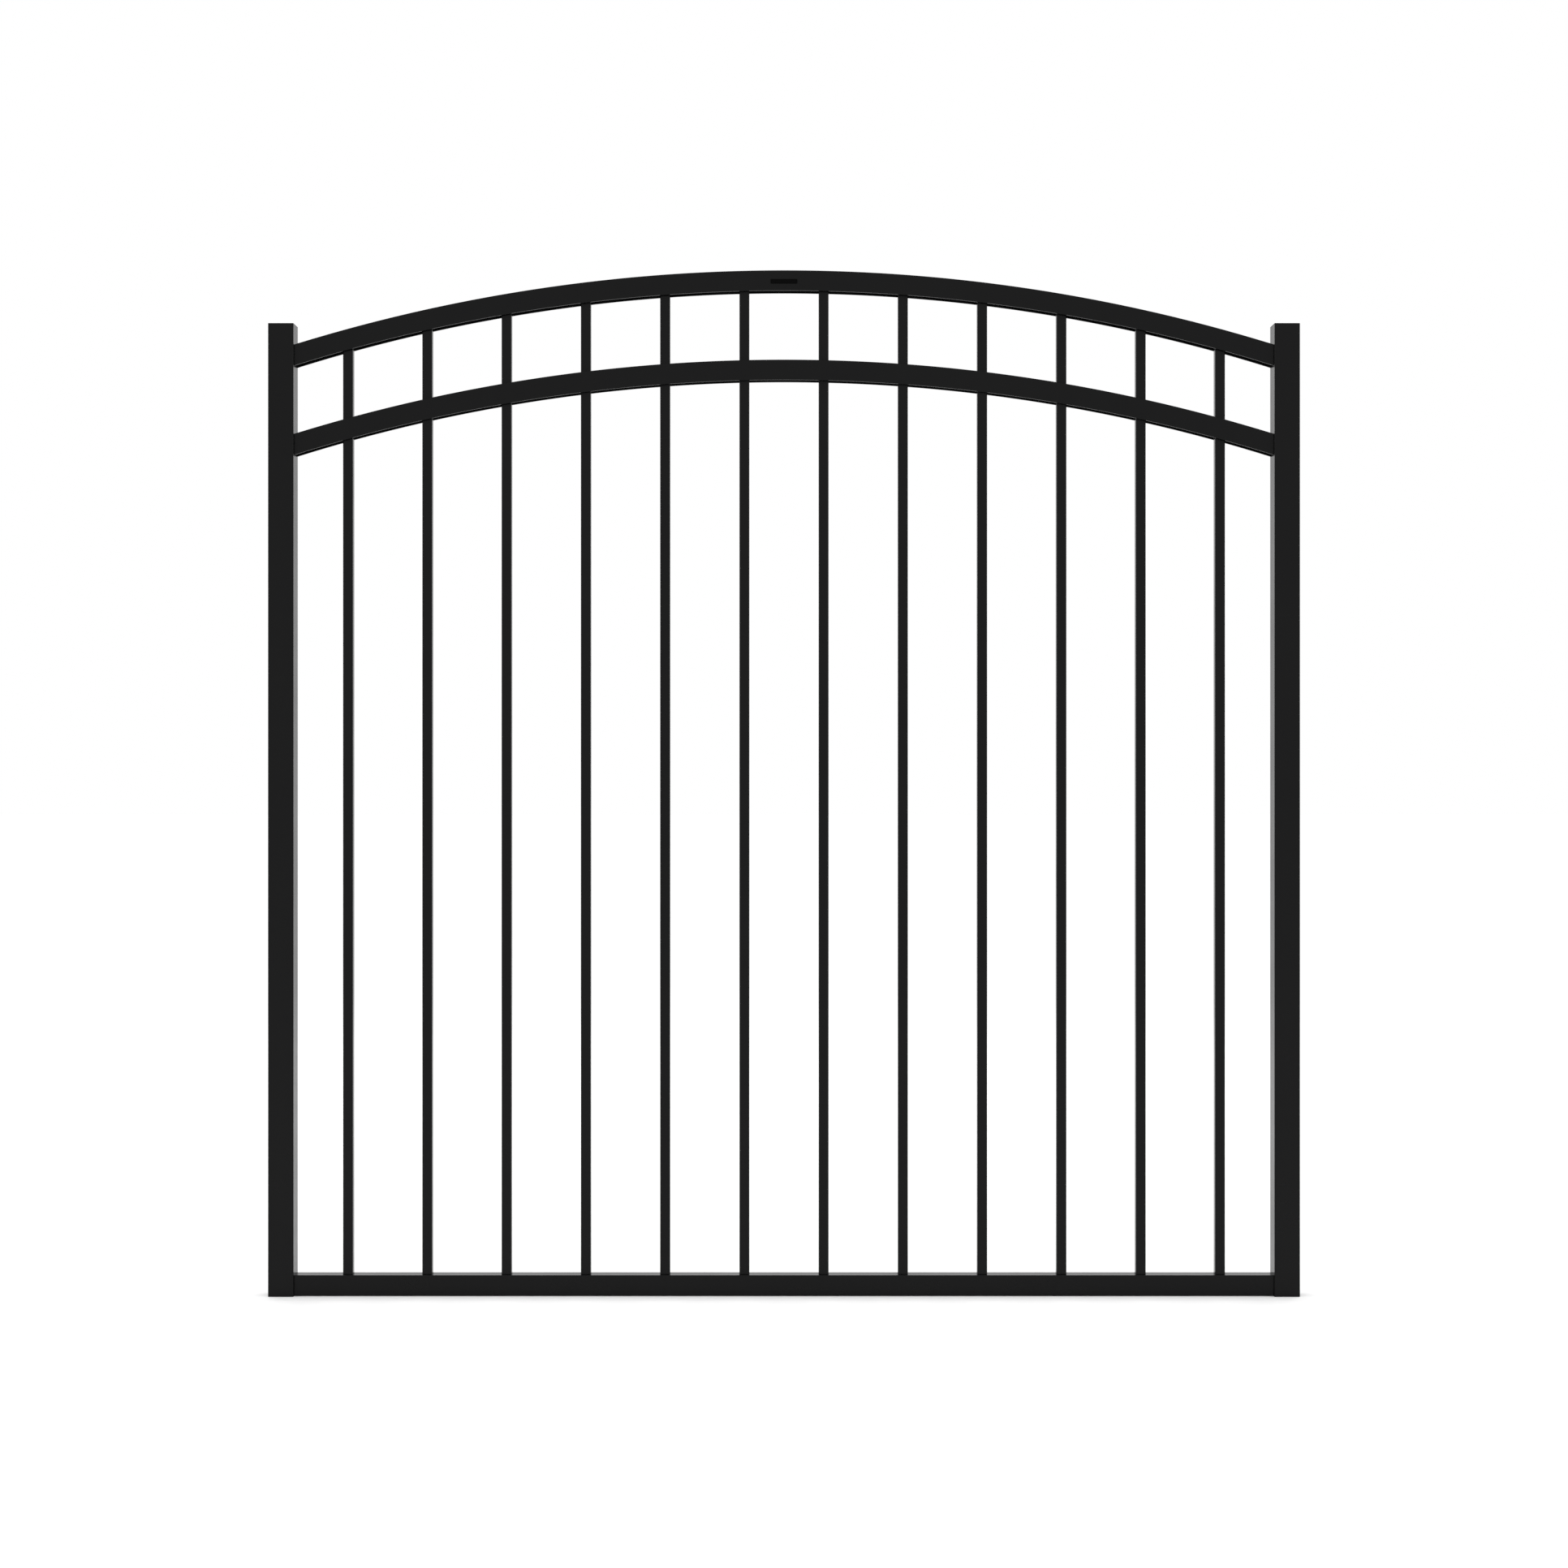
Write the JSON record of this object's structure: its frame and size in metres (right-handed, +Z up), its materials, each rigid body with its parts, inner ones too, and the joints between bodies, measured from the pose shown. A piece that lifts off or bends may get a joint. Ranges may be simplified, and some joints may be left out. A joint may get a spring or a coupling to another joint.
{
  "type": "garden gate",
  "caption": "Arched-top garden gate leaf: square tube stiles with caps, parallel arched channel rails, a straight bottom rail and evenly spaced square pickets, welded.",
  "frame": {"origin": "on the ground line, midway between the stiles and midway through their depth", "axes": "+X from the hinge stile to the latch stile, +Y from front to back, +Z up"},
  "size_m": [1.454, 0.036, 1.4473],
  "materials": {
    "coated_stile": "satin",
    "coated_rail": "satin",
    "coated_picket": "satin",
    "coated_weld": "satin",
    "cap_plastic": "satin",
    "plate": "satin"
  },
  "bodies": {
    "root": {"hinge_stile": "coated_stile", "latch_stile": "coated_stile", "top_arch_rail": "coated_rail", "second_arch_rail": "coated_rail", "bottom_rail": "coated_rail", "picket_01": "coated_picket", "picket_02": "coated_picket", "picket_03": "coated_picket", "picket_04": "coated_picket", "picket_05": "coated_picket", "picket_06": "coated_picket", "picket_07": "coated_picket", "picket_08": "coated_picket", "picket_09": "coated_picket", "picket_10": "coated_picket", "picket_11": "coated_picket", "picket_12": "coated_picket", "hinge_stile_top_cap": "cap_plastic", "hinge_stile_bottom_cap": "cap_plastic", "latch_stile_top_cap": "cap_plastic", "latch_stile_bottom_cap": "cap_plastic", "top_rail_picket_welds": "coated_weld", "top_rail_end_welds": "coated_weld", "second_rail_picket_welds": "coated_weld", "second_rail_end_welds": "coated_weld", "bottom_rail_picket_welds": "coated_weld", "bottom_rail_end_welds": "coated_weld", "blank_plate": "plate"}
  },
  "joints": []
}
